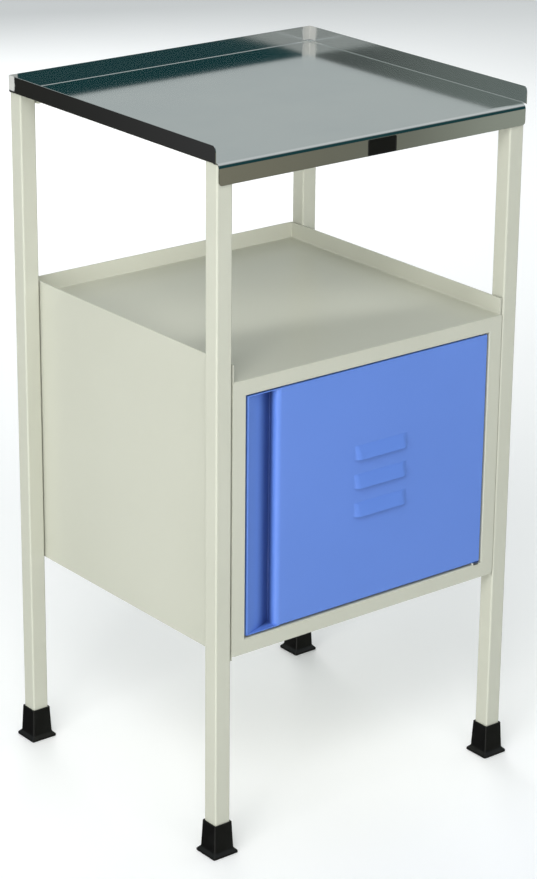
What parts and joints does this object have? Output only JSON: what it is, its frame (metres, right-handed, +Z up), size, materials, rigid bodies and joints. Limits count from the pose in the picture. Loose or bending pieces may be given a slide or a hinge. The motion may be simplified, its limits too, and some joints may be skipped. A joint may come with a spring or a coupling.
{
  "type": "bedside cabinet",
  "caption": "Hospital bedside cabinet: open-frame square-tube legs with rubber shoes, stainless tray top, open shelf and a sheet-metal locker with one side-hung louvred door.",
  "frame": {"origin": "on the floor, at the middle of the footprint of the four shoes", "axes": "+Z up; the door faces -Y; +X to the right as seen from in front of the door"},
  "size_m": [0.4312, 0.3872, 0.8],
  "materials": {
    "ivory_paint": "semi-gloss ivory powder coat",
    "blue_paint": "semi-gloss blue powder coat",
    "stainless": "polished stainless sheet",
    "zinc": "zinc-plated steel",
    "shoe_rubber": "black moulded rubber",
    "buffer_rubber": "dark grey rubber",
    "plate_black": "satin black, blank",
    "white_plastic": "moulded nylon",
    "magnet": "dark ferrite with steel poles"
  },
  "bodies": {
    "cabinet": {"leg_front_left": "ivory_paint", "leg_front_right": "ivory_paint", "leg_back_left": "ivory_paint", "leg_back_right": "ivory_paint", "tray_rail_front": "ivory_paint", "tray_rail_back": "ivory_paint", "shelf_pan": "ivory_paint", "side_panel_left": "ivory_paint", "side_panel_right": "ivory_paint", "back_panel": "ivory_paint", "floor_pan": "ivory_paint", "frame_jamb_left": "ivory_paint", "frame_jamb_right": "ivory_paint", "frame_head": "ivory_paint", "frame_sill": "ivory_paint", "weld_tabs": "ivory_paint", "catch_bracket": "ivory_paint", "stop_tabs": "ivory_paint", "top_tray": "stainless", "tray_stiffener": "stainless", "tray_studs": "zinc", "tray_nuts": "zinc", "hinge_pin_upper": "zinc", "hinge_pin_lower": "zinc", "catch_screws": "zinc", "thrust_washer": "zinc", "shoe_front_left": "shoe_rubber", "shoe_front_right": "shoe_rubber", "shoe_back_left": "shoe_rubber", "shoe_back_right": "shoe_rubber", "door_buffers": "buffer_rubber", "name_plate": "plate_black", "catch_body": "white_plastic", "catch_magnet": "magnet"},
    "door": {"door_skin": "blue_paint", "door_stiffener": "blue_paint", "pivot_plate_upper": "zinc", "pivot_plate_lower": "zinc", "strike_plate": "zinc"}
  },
  "joints": [
    {"name": "door_hinge", "type": "hinge", "parent": "cabinet", "child": "door", "pos_m": [0.1623, -0.1822, 0.39], "axis": [0, 0, 1], "range_deg": [0, 110]}
  ]
}
